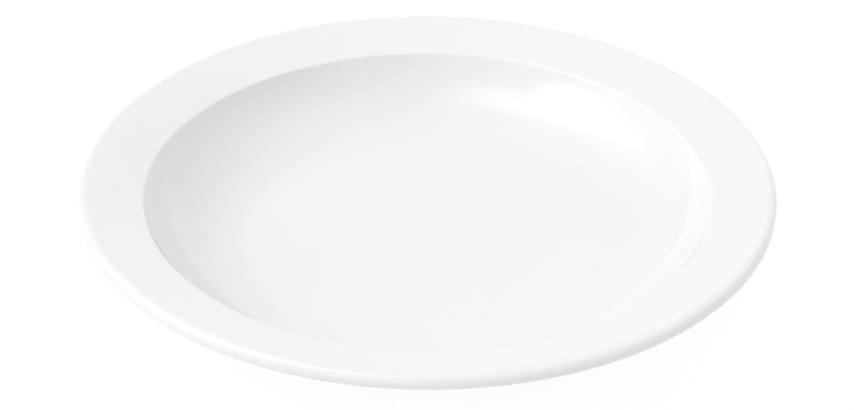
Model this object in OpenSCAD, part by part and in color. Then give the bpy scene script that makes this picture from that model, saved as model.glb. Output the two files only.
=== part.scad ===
// Rimmed soup plate: one white porcelain body, turned about its own axis, with its fired glaze.
// Lengths are in millimetres and angles in degrees. Z is the plate's axis, and the plate stands on z = 0.
// Each outline is a half section, written as corners [radius, height, rounding radius]. It runs from the axis
// over the top, round the edge and back under the plate, so that the air is on its left.

/* [Plate] */
// Diameter over the glazed rim
plate_d = 230; // [190:1:300]
// Height from the table to the top of the glazed rim
plate_h = 32; // [28:0.5:46]

/* [Rim] */
// Width of the rim, from its outer face to the lip of the well
rim_w = 20.8; // [14:0.1:34]
// Slope of the rim, which rises outward
rim_slope = 13.5; // [3:0.5:20]
// Height of the rim's upright outer face between its two corners
edge_h = 4.6; // [4:0.1:8]
// Rounding of the outer face's upper corner
edge_top_round = 2.2; // [0.8:0.1:2.6]
// Rounding of the outer face's lower corner
edge_low_round = 1.1; // [0.6:0.1:2]
// Rounding of the lip, where the rim drops into the well
lip_round = 1; // [0.5:0.1:4]

/* [Well] */
// Slope of the well's wall at the lip
wall_slope = 64; // [48:1:72]
// Radius of the bend from the wall to the flat floor
well_bend = 34; // [20:1:50]
// Thickness of the wall under the lip
wall_t = 4.8; // [3.5:0.1:7]
// Thickness of the floor over the foot well
floor_t = 4.6; // [3:0.1:7]
// Rounding under the rim, where it meets the outside of the wall
shoulder_round = 5; // [2:0.5:9]
// Slope of the underside between the foot ring and the wall
under_slope = 6; // [3:1:16]
// Radius of the bend from that slope to the outside of the wall
under_bend = 31; // [18:1:48]

/* [Foot ring] */
// Diameter over the outer edge of the standing face
foot_d = 126; // [100:1:140]
// Width of the standing face before its corners are rounded
foot_w = 4.2; // [3:0.1:7]
// Height of the foot ring outside
foot_h = 3; // [2.2:0.1:6]
// Depth of the foot well inside the ring
recess_h = 2.6; // [1.8:0.1:5]
// Lean of the ring's flanks from upright
foot_lean = 15; // [5:1:25]
// Rounding of the standing face's two corners
foot_round = 0.6; // [0.3:0.1:1]
// Rounding at the root of the ring, outside and inside
root_round = 1.3; // [0.8:0.1:2]

/* [Glaze] */
// Thickness of the fired glaze
glaze_t = 0.3; // [0.2:0.05:0.5]
// Height over the table at which the glaze ends and the foot is left dry
dry_h = 0.9; // [0.7:0.05:1.2]

/* [Hidden] */

// Largest gap between a round stretch and the straight pieces it is drawn with
chord_gap = 0.01;
// Fewest straight pieces in a rounding
least_steps = 6;
// Straight pieces in one turn about the axis
turn_steps = 240;

bisque = [0.94, 0.93, 0.905];
white_glaze = [0.985, 0.985, 0.98];

// Plane vectors
function unit(v) = v / norm(v);
function left_of(v) = [-v.y, v.x];
function heading(angle) = [cos(angle), sin(angle)];
function spun(v, angle) = [v.x * cos(angle) - v.y * sin(angle), v.x * sin(angle) + v.y * cos(angle)];
function turn_between(u, v) = atan2(cross(u, v), u * v);
// Where the line through p along u crosses the line through q along v
function meet(p, u, q, v) = p + u * cross(q - p, v) / cross(u, v);

// Corners of an outline: their place, the directions before and after them, and the turn they make
function spot(corner) = [corner[0], corner[1]];
function before(corners, i) = unit(spot(corners[i]) - spot(corners[i - 1]));
function after(corners, i) = unit(spot(corners[i + 1]) - spot(corners[i]));
function is_end(corners, i) = i == 0 || i == len(corners) - 1;
function turn_at(corners, i) = is_end(corners, i) ? 0 : turn_between(before(corners, i), after(corners, i));

// How far a rounding reaches along the sides of its corner, and how much of that a side has room for
function reach(corners, i) = is_end(corners, i) ? 0 : corners[i][2] * tan(abs(turn_at(corners, i)) / 2);
function side_length(corners, i) = norm(spot(corners[i + 1]) - spot(corners[i]));
function wanted(corners, i) = reach(corners, i) + reach(corners, i + 1);
function room(corners, i) = wanted(corners, i) > 0 ? min(1, side_length(corners, i) / wanted(corners, i)) : 1;

// Straight pieces that a rounding of this radius and turn is drawn with
function steps_for(round, turn) =
    round > 0 ? max(least_steps, ceil(abs(turn) / (2 * acos(1 - min(1, chord_gap / round))))) : 0;

// The same corners, each rounding limited to its sides, with its number of straight pieces added
function fitted(corners) = [for (i = [0 : len(corners) - 1])
    let (round = is_end(corners, i) ? 0 : corners[i][2] * min(room(corners, i - 1), room(corners, i)))
    [corners[i][0], corners[i][1], round, steps_for(round, turn_at(corners, i))]];

// The points of one rounding, which turns from direction u to direction v
function bend(corner, u, v) =
    let (turn = turn_between(u, v),
         radius = corner[2],
         to_centre = left_of(u) * sign(turn) * radius,
         centre = spot(corner) - u * radius * tan(abs(turn) / 2) + to_centre)
    [for (k = [0 : corner[3]]) centre - spun(to_centre, turn * k / corner[3])];

// The points of a whole outline
function drawn(corners) = [for (i = [0 : len(corners) - 1]) each
    corners[i][3] == 0 ? [spot(corners[i])] : bend(corners[i], before(corners, i), after(corners, i))];

// The corners moved out by t on the left of the outline, so that every bend keeps its centre
function moved(corners, i, t) =
    i == 0 ? left_of(after(corners, i)) * t
    : i == len(corners) - 1 ? left_of(before(corners, i)) * t
    : let (a = left_of(before(corners, i)), b = left_of(after(corners, i))) (a + b) * t / (1 + a * b);
function grown(corners, t) = [for (i = [0 : len(corners) - 1])
    let (place = spot(corners[i]) + moved(corners, i, t))
    [place.x, place.y, max(0, corners[i][2] - sign(turn_at(corners, i)) * t), corners[i][3]]];

// A coat of thickness t on the left of the outline, or on its right where t is negative, with a rounded end
// past the last corner
function coat(corners, t) =
    let (last = len(corners) - 1,
         onward = before(corners, last),
         out = left_of(onward) * t,
         top = drawn(grown(corners, t)))
    concat(
        drawn(corners),
        [for (k = [0 : least_steps - 1]) let (angle = 90 * k / least_steps)
            spot(corners[last]) + onward * abs(t) * cos(angle) + out * sin(angle)],
        [for (i = [len(top) - 1 : -1 : 0]) top[i]]);

// Rim and lip of the fired body, inside the glaze. The rim's top round touches the overall height.
edge_r = plate_d / 2 - glaze_t;
edge_top_z = plate_h - glaze_t - edge_top_round + edge_top_round / tan((90 - rim_slope) / 2);
edge_low_z = edge_top_z - edge_h;
lip_r = edge_r - rim_w;
lip_z = edge_top_z - rim_w * tan(rim_slope);

// Well: its floor lies over the foot well, and its wall runs straight down from the lip
floor_z = recess_h + floor_t;
knee_r = lip_r - (lip_z - floor_z) / tan(wall_slope);

// Underside: the rim's lower face, the outside of the wall, and the slope in to the foot ring
foot_r = foot_d / 2;
foot_in_r = foot_r - foot_w;
root_out = [foot_r + foot_h * tan(foot_lean), foot_h];
root_in = [foot_in_r - recess_h * tan(foot_lean), recess_h];
wall_outside = [lip_r, lip_z] - left_of(heading(wall_slope)) * wall_t;
shoulder = meet([edge_r, edge_low_z], heading(rim_slope), wall_outside, heading(wall_slope));
under_knee = meet(wall_outside, heading(wall_slope), root_out, heading(under_slope));

body_corners = fitted([
    [0, floor_z, 0],
    [knee_r, floor_z, well_bend],
    [lip_r, lip_z, lip_round],
    [edge_r, edge_top_z, edge_top_round],
    [edge_r, edge_low_z, edge_low_round],
    [shoulder.x, shoulder.y, shoulder_round],
    [under_knee.x, under_knee.y, under_bend],
    [root_out.x, root_out.y, root_round],
    [foot_r, 0, foot_round],
    [foot_in_r, 0, foot_round],
    [root_in.x, root_in.y, root_round],
    [0, recess_h, 0]]);

// The glaze ends on each flank of the foot ring, one thickness above the dry band and then rounded down to it
flank = heading(90 - foot_lean);
flank_rise = flank * (dry_h / cos(foot_lean) + glaze_t);
coat_end = [foot_r, 0] + flank_rise;
well_coat_end = [foot_in_r, 0] + [-flank_rise.x, flank_rise.y];
coat_corners = [for (i = [0 : 7]) body_corners[i], [coat_end.x, coat_end.y, 0, 0]];
foot_well_corners = [body_corners[11], body_corners[10], [well_coat_end.x, well_coat_end.y, 0, 0]];

module turned(outline) {
    rotate_extrude($fn = turn_steps) polygon(outline);
}

// The white fired body: well, rim, edge and foot ring in one
module porcelain_body() {
    color(bisque) turned(drawn(body_corners));
}

// The glaze over everything but the foot ring's lowest band and what the ring encloses
module glaze_coat() {
    color(white_glaze) turned(coat(coat_corners, glaze_t));
}

// The glaze on the underside inside the foot ring
module foot_well_glaze() {
    color(white_glaze) turned(coat(foot_well_corners, -glaze_t));
}

porcelain_body();
glaze_coat();
foot_well_glaze();
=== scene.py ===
"""A rimmed soup plate: the fired white body, its glaze, and the glaze in its foot well.

Lengths are in metres. The plate stands on z = 0, and Z is its axis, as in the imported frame.
Each outline is a half section, written as corners (place, rounding radius). It runs from the
axis over the top, round the edge and back under the plate, with the air on its left.
"""
import math

import bpy
from mathutils import Matrix, Vector


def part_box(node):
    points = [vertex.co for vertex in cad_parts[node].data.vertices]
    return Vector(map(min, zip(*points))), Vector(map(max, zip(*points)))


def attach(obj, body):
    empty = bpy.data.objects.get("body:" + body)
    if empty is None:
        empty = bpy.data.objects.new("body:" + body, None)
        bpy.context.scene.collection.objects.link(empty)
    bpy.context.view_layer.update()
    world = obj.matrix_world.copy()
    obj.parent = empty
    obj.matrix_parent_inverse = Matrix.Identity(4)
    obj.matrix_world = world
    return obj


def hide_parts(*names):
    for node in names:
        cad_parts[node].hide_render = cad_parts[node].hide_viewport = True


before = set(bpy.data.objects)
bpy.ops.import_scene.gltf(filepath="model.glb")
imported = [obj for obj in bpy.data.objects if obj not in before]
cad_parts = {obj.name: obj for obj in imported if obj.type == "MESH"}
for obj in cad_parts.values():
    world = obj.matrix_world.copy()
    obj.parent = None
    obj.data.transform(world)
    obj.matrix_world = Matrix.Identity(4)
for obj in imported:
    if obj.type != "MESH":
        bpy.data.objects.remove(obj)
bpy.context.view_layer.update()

MM = 0.001

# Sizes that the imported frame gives
PLATE_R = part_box("glaze_coat")[1].x
PLATE_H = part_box("glaze_coat")[1].z
BODY_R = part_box("porcelain_body")[1].x
BODY_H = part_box("porcelain_body")[1].z
GLAZE_T = PLATE_R - BODY_R

# Rim
RIM_W = 20.8 * MM
RIM_SLOPE = math.radians(13.5)
EDGE_H = 4.6 * MM
EDGE_TOP_ROUND = 2.2 * MM
EDGE_LOW_ROUND = 1.1 * MM
LIP_ROUND = 1 * MM

# Well and underside
WALL_SLOPE = math.radians(64)
WELL_BEND = 34 * MM
WALL_T = 4.8 * MM
FLOOR_T = 4.6 * MM
SHOULDER_ROUND = 5 * MM
UNDER_SLOPE = math.radians(6)
UNDER_BEND = 31 * MM

# Foot ring
FOOT_R = 63 * MM
FOOT_W = 4.2 * MM
FOOT_H = 3 * MM
RECESS_H = 2.6 * MM
FOOT_LEAN = math.radians(15)
FOOT_ROUND = 0.6 * MM
ROOT_ROUND = 1.3 * MM
DRY_H = 0.9 * MM

# What firing does to the form: the rim warps slightly, and the glaze line on the foot wanders.
# A wave is (its share, how often it goes up and down in one turn of the plate, its phase).
RIM_WARP = 0.12 * MM
RIM_WAVES = ((0.6, 2, 2.2708), (0.4, 3, 0.4708))
LINE_WANDER = 0.14 * MM
LINE_WAVES = ((0.5, 3, 1), (0.3, 7, 2), (0.2, 16, 0))
LINE_REACH = 1.2 * MM

# How finely the forms are drawn, and how near to the axis a point counts as on it
CHORD_GAP = 0.003 * MM
LEAST_STEPS = 8
LONGEST_PIECE = 4 * MM
TURN_STEPS = 288
ON_AXIS = 1e-6 * MM

# Materials: the range that most of a noise's values lie in, and the colours
NOISE_RANGE = (0.3, 0.7)
WHITE = (1, 1, 1, 1)
GLAZE_COOL = (0.862, 0.862, 0.858, 1)
GLAZE_WARM = (0.88, 0.878, 0.868, 1)
GLAZE_SPECK = (0.62, 0.58, 0.52, 1)
GLAZE_IOR = 1.5
BISQUE_DARK = (0.74, 0.71, 0.66, 1)
BISQUE_LIGHT = (0.79, 0.77, 0.73, 1)
BISQUE_RUBBED = (0.5, 0.49, 0.47, 1)
BISQUE_GRAIN = (0.62, 0.58, 0.53, 1)

# The inputs and the output of a colour mix, which share their names with others of the same node
MIX_FACTOR = 0
MIX_COLOUR_A = 6
MIX_COLOUR_B = 7
MIX_COLOUR_OUT = 2

# Camera: its distance and direction from the centre of the rim, its roll, its lens in millimetres,
# how far beside and below that centre it aims, and the nearest that it sees
CAMERA_DISTANCE = 1.035
CAMERA_ELEVATION = math.radians(31.228)
CAMERA_ROLL = math.radians(0.36)
CAMERA_LENS = 132.166
AIM_SIDE = -0.137 * MM
AIM_DROP = 10.186 * MM
CAMERA_NEAREST = 0.05

# Table: its width, its cool white, and what of it the eye sees as shading and as plain white
TABLE_W = 8
TABLE_WHITE = (0.785, 0.785, 0.84, 1)
TABLE_SHADING = (0.08, 0.08, 0.08, 1)
TABLE_GLOW = 0.945

# Light: the room's colour, its soft lights as (azimuth, elevation, reach, colour), and the white
# backdrop. The angles are in degrees. The dark parts take away some of the room's colour.
ROOM_LIGHT = (0.565, 0.56, 0.515)
SOFT_LIGHTS = {
    "window at the left": (200, 37, 20, (6, 5.8, 5.6)),
    "window's far end": (170, 37, 20, (1.8, 1.7, 2.5)),
    "window's foot": (190, 22, 16, (0.45, 0.85, 0.7)),
    "window's top": (187, 53, 22, (2.8, 3.05, 3.9)),
    "window's near top": (222, 62, 24, (2.1, 2, 2.4)),
    "return from the right": (12, 47, 47, (0.94, 0.93, 0.89)),
    "low light at the front left": (251, -10, 32, (4.4, 4.5, 4.65)),
    "low light at the front right": (325, -17, 36, (1, 3, 6)),
    "pale back of the room": (66, 0, 60, (0.64, 0.66, 0.8)),
    "dark part at the back": (102, 40, 32, (-0.15, -0.2, -0.05)),
    "dark part in front": (272, 24, 20, (-0.3, -0.4, -0.4)),
    "dark part at the front right": (330, 20, 24, (-0.15, -0.4, -0.4)),
}
BACKDROP = (90, 0, 30)


# Plane vectors

def left_of(v):
    return Vector((-v.y, v.x))


def heading(angle):
    return Vector((math.cos(angle), math.sin(angle)))


def cross(u, v):
    return u.x * v.y - u.y * v.x


def turn_between(u, v):
    return math.atan2(cross(u, v), u.dot(v))


def meet(p, u, q, v):
    """Where the line through p along u crosses the line through q along v."""
    return p + u * (cross(q - p, v) / cross(u, v))


# Outlines

def sides_at(corners, i):
    """The directions of the outline before and after one corner, or the only one at its ends."""
    places = [place for place, _ in corners[max(i - 1, 0):i + 2]]
    return [(b - a).normalized() for a, b in zip(places, places[1:])]


def turns_of(corners):
    """How far the outline turns at each corner, which is 0 at its ends."""
    sides = [sides_at(corners, i) for i in range(len(corners))]
    return [turn_between(*pair) if len(pair) == 2 else 0 for pair in sides]


def steps_of(corners):
    """How many straight pieces each rounding is drawn with, or 0 at a sharp corner."""
    counts = []
    for (_, radius), turn in zip(corners, turns_of(corners)):
        if radius == 0:
            counts.append(0)
            continue
        piece = 2 * math.acos(1 - CHORD_GAP / radius)
        counts.append(max(LEAST_STEPS, math.ceil(abs(turn) / piece)))
    return counts


def bend(place, radius, u, v, steps):
    """The points of one rounding, which turns from direction u to direction v."""
    turn = turn_between(u, v)
    to_centre = left_of(u) * math.copysign(radius, turn)
    centre = place - u * radius * math.tan(abs(turn) / 2) + to_centre
    return [centre - Matrix.Rotation(turn * k / steps, 2) @ to_centre for k in range(steps + 1)]


def drawn(corners, counts):
    """The points of a whole outline. Its long straight stretches are cut into even pieces."""
    points = [corners[0][0]]
    for i in range(1, len(corners)):
        place, radius = corners[i]
        rounding = bend(place, radius, *sides_at(corners, i), counts[i]) if counts[i] else [place]
        start = points[-1]
        cuts = math.ceil((rounding[0] - start).length / LONGEST_PIECE)
        points += [start.lerp(rounding[0], k / cuts) for k in range(1, cuts)]
        points += rounding
    return points


def grown(corners, t):
    """The corners moved by t to the left of the outline, so that every bend keeps its centre."""
    made = []
    for i, ((place, radius), turn) in enumerate(zip(corners, turns_of(corners))):
        normals = [left_of(side) for side in sides_at(corners, i)]
        a, b = normals[0], normals[-1]
        moved = place + (a + b) * (t / (1 + a.dot(b)))
        made.append((moved, radius and max(0, radius - t if turn > 0 else radius + t)))
    return made


def coat(corners, t):
    """The closed outline of a coat of thickness t, with the air on its left and a rounded end.

    It lies on the left of the corners' outline, or on its right where t is negative.
    """
    counts = steps_of(corners)
    end = corners[-1][0]
    onward = sides_at(corners, len(corners) - 1)[-1]
    out = left_of(onward) * t
    angles = [math.radians(90) * k / LEAST_STEPS for k in range(LEAST_STEPS)]
    rounded_end = [end + onward * abs(t) * math.cos(a) + out * math.sin(a) for a in angles]
    points = drawn(corners, counts) + rounded_end + drawn(grown(corners, t), counts)[::-1]
    return points[::-1] if t > 0 else points


def body_corners():
    """The fired body, as it is inside the glaze."""
    edge_top = BODY_H - EDGE_TOP_ROUND + EDGE_TOP_ROUND / math.tan((math.pi / 2 - RIM_SLOPE) / 2)
    lip = Vector((BODY_R - RIM_W, edge_top - RIM_W * math.tan(RIM_SLOPE)))
    floor_z = RECESS_H + FLOOR_T
    knee = Vector((lip.x - (lip.y - floor_z) / math.tan(WALL_SLOPE), floor_z))
    edge_low = Vector((BODY_R, edge_top - EDGE_H))
    root_out = Vector((FOOT_R + FOOT_H * math.tan(FOOT_LEAN), FOOT_H))
    root_in = Vector((FOOT_R - FOOT_W - RECESS_H * math.tan(FOOT_LEAN), RECESS_H))
    wall_outside = lip - left_of(heading(WALL_SLOPE)) * WALL_T
    shoulder = meet(edge_low, heading(RIM_SLOPE), wall_outside, heading(WALL_SLOPE))
    under_knee = meet(wall_outside, heading(WALL_SLOPE), root_out, heading(UNDER_SLOPE))
    return [
        (Vector((0, floor_z)), 0),
        (knee, WELL_BEND),
        (lip, LIP_ROUND),
        (Vector((BODY_R, edge_top)), EDGE_TOP_ROUND),
        (edge_low, EDGE_LOW_ROUND),
        (shoulder, SHOULDER_ROUND),
        (under_knee, UNDER_BEND),
        (root_out, ROOT_ROUND),
        (Vector((FOOT_R, 0)), FOOT_ROUND),
        (Vector((FOOT_R - FOOT_W, 0)), FOOT_ROUND),
        (root_in, ROOT_ROUND),
        (Vector((0, RECESS_H)), 0),
    ]


# Meshes

def swell(waves, x, y):
    """How high the waves stand on the side of the plate where that point is, from 0 to 1."""
    angle = math.atan2(y, x)
    return (1 + sum(share * math.sin(count * angle + phase) for share, count, phase in waves)) / 2


def fired(x, y, z):
    """A point of the plate after the kiln: the rim sinks a little, unevenly, outside the foot."""
    share = max(0, (math.hypot(x, y) - FOOT_R) / (PLATE_R - FOOT_R)) ** 2
    return (x, y, z - RIM_WARP * share * swell(RIM_WAVES, x, y))


def wandering(x, y, z):
    """A point of the glaze: close to the glaze line it slides along the foot's flank with the line."""
    near = max(0, 1 - (z - DRY_H) / LINE_REACH)
    slide = LINE_WANDER * near * swell(LINE_WAVES, x, y)
    r = math.hypot(x, y)
    side = 1 if r > FOOT_R - FOOT_W / 2 else -1
    wider = 1 + side * slide * math.tan(FOOT_LEAN) / r if near and r else 1
    return (x * wider, y * wider, z + slide)


def lathe(name, outline, *changes):
    """A closed mesh: the outline, which starts and ends on the axis, turned about Z."""
    ring = [heading(2 * math.pi * j / TURN_STEPS) for j in range(TURN_STEPS)]
    inner = [p for p in outline if p.x > ON_AXIS]
    points = [(p.x * d.x, p.x * d.y, p.y) for p in inner for d in ring]
    points += [(0, 0, outline[0].y), (0, 0, outline[-1].y)]
    first_pole, last_pole = len(points) - 2, len(points) - 1
    last_ring = (len(inner) - 1) * TURN_STEPS
    faces = []
    for j in range(TURN_STEPS):
        k = (j + 1) % TURN_STEPS
        faces.append((first_pole, j, k))
        faces += [(i + j, i + j + TURN_STEPS, i + k + TURN_STEPS, i + k)
                  for i in range(0, last_ring, TURN_STEPS)]
        faces.append((last_pole, last_ring + k, last_ring + j))
    for change in changes:
        points = [change(*p) for p in points]
    mesh = bpy.data.meshes.new(name)
    mesh.from_pydata(points, [], faces)
    mesh.polygons.foreach_set("use_smooth", [True] * len(mesh.polygons))
    mesh.update()
    piece = bpy.data.objects.new(name, mesh)
    bpy.context.scene.collection.objects.link(piece)
    return piece


# Nodes

class Nodes:
    """A node tree, with short calls for the nodes that the materials and the world share."""

    def __init__(self, tree):
        self.tree = tree

    def feed(self, socket, value):
        """Links an output to the socket, or sets the socket to a plain value."""
        if isinstance(value, bpy.types.NodeSocket):
            self.tree.links.new(value, socket)
        else:
            socket.default_value = value

    def node(self, kind, inputs=None, **settings):
        """A new node. Its inputs go by name, or by number where they share a name."""
        made = self.tree.nodes.new("ShaderNode" + kind)
        for key, value in settings.items():
            setattr(made, key, value)
        for key, value in (inputs or {}).items():
            self.feed(made.inputs[key], value)
        return made

    def mixed_shaders(self, share, a, b):
        return self.node("MixShader", {0: share, 1: a.outputs[0], 2: b.outputs[0]})

    def seen_by_eye(self):
        """1 for rays that show what they meet: from the camera, in a mirror or through glass."""
        rays = self.node("LightPath").outputs
        total = rays["Is Camera Ray"]
        for name in ("Is Glossy Ray", "Is Transmission Ray"):
            total = self.node("Math", {0: total, 1: rays[name]}, operation="MAXIMUM").outputs[0]
        return total


# Materials

class Material(Nodes):
    """A node material, with short calls for the nodes that its recipes share."""

    def __init__(self, name):
        self.material = bpy.data.materials.new(name)
        self.material.use_nodes = True
        super().__init__(self.material.node_tree)
        self.shader = self.tree.nodes["Principled BSDF"]
        self.place = self.node("TexCoord").outputs["Object"]

    def noise(self, size, detail, roughness=0.5):
        """Noise from 0 to 1 whose patches are about that size across."""
        inputs = {"Vector": self.place, "Scale": 1 / size, "Detail": detail, "Roughness": roughness}
        return self.node("TexNoise", inputs).outputs["Fac"]

    def mapped(self, value, given=NOISE_RANGE, wanted=(0, 1)):
        """The value carried over from the range given to the range wanted."""
        low, high = given
        new_low, new_high = wanted
        inputs = {"Value": value, "From Min": low, "From Max": high, "To Min": new_low, "To Max": new_high}
        return self.node("MapRange", inputs).outputs["Result"]

    def mixed(self, share, a, b):
        """Colour a where the share is 0, turning to colour b where it is 1."""
        inputs = {MIX_FACTOR: share, MIX_COLOUR_A: a, MIX_COLOUR_B: b}
        return self.node("Mix", inputs, data_type="RGBA").outputs[MIX_COLOUR_OUT]

    def bump(self, height, depth, under=None):
        """A surface direction for bumps that deep, laid over those of another bump if one is given."""
        inputs = {"Height": height, "Distance": depth, "Strength": 1}
        if under:
            inputs["Normal"] = under
        return self.node("Bump", inputs).outputs["Normal"]

    def shaded(self, inputs):
        """The finished material, its shader fed with these inputs."""
        for key, value in inputs.items():
            self.feed(self.shader.inputs[key], value)
        return self.material


def glaze_material():
    """Fired white glaze: glossy, with a faint long ripple, a finer peel and a slight drift of tone."""
    m = Material("white_glaze")
    drift = m.mapped(m.noise(size=60 * MM, detail=3))
    specks = m.mapped(m.noise(size=0.9 * MM, detail=1), given=(0.8, 0.84), wanted=(0, 0.12))
    gloss = m.mapped(m.noise(size=14 * MM, detail=3), wanted=(0.05, 0.1))
    ripple = m.bump(m.noise(size=38 * MM, detail=1), depth=0.05 * MM)
    peel = m.bump(m.noise(size=2.6 * MM, detail=1), depth=0.004 * MM, under=ripple)
    colour = m.mixed(specks, m.mixed(drift, GLAZE_COOL, GLAZE_WARM), GLAZE_SPECK)
    return m.shaded({"Base Color": colour, "Roughness": gloss, "Normal": peel, "IOR": GLAZE_IOR})


def bisque_material():
    """Bare fired porcelain: matt and fine-grained, with the rings of the grinding wheel on its face."""
    m = Material("bisque_porcelain")
    grain = m.noise(size=0.5 * MM, detail=4, roughness=0.65)
    cloud = m.mapped(m.noise(size=9 * MM, detail=3))
    rubbed = m.mapped(m.noise(size=3 * MM, detail=4, roughness=0.7), given=(0.6, 0.75), wanted=(0, 0.25))
    colour = m.mixed(rubbed, m.mixed(cloud, BISQUE_DARK, BISQUE_LIGHT), BISQUE_RUBBED)
    colour = m.mixed(m.mapped(grain, given=(0.55, 0.8), wanted=(0, 0.3)), colour, BISQUE_GRAIN)
    rings = m.node("TexWave", {"Vector": m.place, "Scale": 1 / (2.4 * MM), "Distortion": 1.5, "Detail": 2},
                   wave_type="RINGS", rings_direction="Z")
    grinding = m.bump(rings.outputs["Fac"], depth=0.01 * MM)
    surface = m.bump(grain, depth=0.02 * MM, under=grinding)
    matt = m.mapped(grain, wanted=(0.65, 0.85))
    return m.shaded({"Base Color": colour, "Roughness": matt, "Normal": surface})


# The object

def dress(piece, material, slot, *nodes):
    """Gives a piece its material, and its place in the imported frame."""
    piece.data.materials.append(material)
    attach(piece, "root")
    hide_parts(*nodes)


def make_plate():
    """The body and the two glazes, which end a little way up the flanks of the foot ring."""
    body = body_corners()
    *above_foot, foot_out, foot_in, root_in, recess_centre = body
    rise = DRY_H / math.cos(FOOT_LEAN) + GLAZE_T
    up_outside = heading(math.pi / 2 - FOOT_LEAN) * rise
    up_inside = Vector((-up_outside.x, up_outside.y))
    coat_corners = [*above_foot, (foot_out[0] + up_outside, 0)]
    well_corners = [recess_centre, root_in, (foot_in[0] + up_inside, 0)]
    glaze = glaze_material()
    dress(lathe("plate_body", drawn(body, steps_of(body)), fired),
          bisque_material(), "bisque_porcelain", "porcelain_body")
    dress(lathe("plate_glaze", coat(coat_corners, GLAZE_T), wandering, fired),
          glaze, "white_glaze", "glaze_coat")
    dress(lathe("plate_foot_well_glaze", coat(well_corners, -GLAZE_T), wandering, fired),
          glaze, "white_glaze", "foot_well_glaze")


# Table, light and camera

def make_table():
    """A wide pale table. It looks white and keeps a light shadow, and it is clear from below."""
    bpy.ops.mesh.primitive_plane_add(size=TABLE_W)
    table = bpy.context.object
    table.name = "table"
    material = bpy.data.materials.new("table")
    material.use_nodes = True
    nodes = Nodes(material.node_tree)
    nodes.tree.nodes.remove(nodes.tree.nodes["Principled BSDF"])
    plain = nodes.node("BsdfDiffuse", {"Color": TABLE_WHITE})
    shading = nodes.node("BsdfDiffuse", {"Color": TABLE_SHADING})
    glow = nodes.node("Emission", {"Strength": TABLE_GLOW})
    shown = nodes.node("AddShader", {0: shading.outputs[0], 1: glow.outputs[0]})
    top = nodes.mixed_shaders(nodes.seen_by_eye(), plain, shown)
    from_below = nodes.node("NewGeometry").outputs["Backfacing"]
    surface = nodes.mixed_shaders(from_below, top, nodes.node("BsdfTransparent"))
    nodes.feed(nodes.tree.nodes["Material Output"].inputs["Surface"], surface.outputs[0])
    table.data.materials.append(material)


def toward(azimuth, elevation):
    """The direction of a light. Azimuth is turned from +X towards +Y."""
    a, e = math.radians(azimuth), math.radians(elevation)
    return Vector((math.cos(a) * math.cos(e), math.sin(a) * math.cos(e), math.sin(e)))


def lobe(nodes, sky, azimuth, elevation, reach):
    """1 where the sky lies in that direction, falling softly to 0 at that many degrees from it."""
    inputs = {0: sky, 1: toward(azimuth, elevation)}
    facing = nodes.node("VectorMath", inputs, operation="DOT_PRODUCT").outputs["Value"]
    angle = nodes.node("Math", {0: facing}, operation="ARCCOSINE").outputs[0]
    inputs = {"Value": angle, "From Max": math.radians(reach), "To Min": 1, "To Max": 0}
    return nodes.node("MapRange", inputs, interpolation_type="SMOOTHSTEP").outputs["Result"]


def make_world():
    """A pale room with soft lights in it and a white backdrop. The camera itself sees plain white."""
    world = bpy.data.worlds.new("studio")
    bpy.context.scene.world = world
    world.use_nodes = True
    nodes = Nodes(world.node_tree)
    sky = nodes.node("TexCoord").outputs["Generated"]

    def joined(operation, inputs):
        return nodes.node("VectorMath", inputs, operation=operation).outputs["Vector"]

    total = ROOM_LIGHT
    for azimuth, elevation, reach, colour in SOFT_LIGHTS.values():
        light = joined("SCALE", {0: colour, "Scale": lobe(nodes, sky, azimuth, elevation, reach)})
        total = joined("ADD", {0: total, 1: light})
    inputs = {0: lobe(nodes, sky, *BACKDROP), 1: nodes.seen_by_eye()}
    backdrop = nodes.node("Math", inputs, operation="MULTIPLY").outputs[0]
    room = nodes.tree.nodes["Background"]
    nodes.feed(room.inputs["Color"], joined("MAXIMUM", {0: total, 1: backdrop}))
    nodes.feed(room.inputs["Strength"], 1)
    white = nodes.node("Background", {"Color": WHITE})
    by_camera = nodes.node("LightPath").outputs["Is Camera Ray"]
    surface = nodes.mixed_shaders(by_camera, room, white)
    nodes.feed(nodes.tree.nodes["World Output"].inputs["Surface"], surface.outputs[0])


def make_camera():
    data = bpy.data.cameras.new("photo_camera")
    data.lens = CAMERA_LENS
    data.clip_start = CAMERA_NEAREST
    camera = bpy.data.objects.new("photo_camera", data)
    bpy.context.scene.collection.objects.link(camera)
    rim_centre = Vector((0, 0, PLATE_H))
    back = Vector((0, -math.cos(CAMERA_ELEVATION), math.sin(CAMERA_ELEVATION)))
    place = rim_centre + back * CAMERA_DISTANCE
    ahead = (rim_centre + Vector((AIM_SIDE, 0, -AIM_DROP)) - place).normalized()
    right = ahead.cross(Vector((0, 0, 1))).normalized()
    up = right.cross(ahead)
    roll = Matrix.Rotation(-CAMERA_ROLL, 3, ahead)
    camera.matrix_world = Matrix((roll @ right, roll @ up, -ahead)).transposed().to_4x4()
    camera.location = place
    bpy.context.scene.camera = camera


make_camera()
make_plate()
make_table()
make_world()
bpy.context.scene.view_settings.view_transform = "Standard"
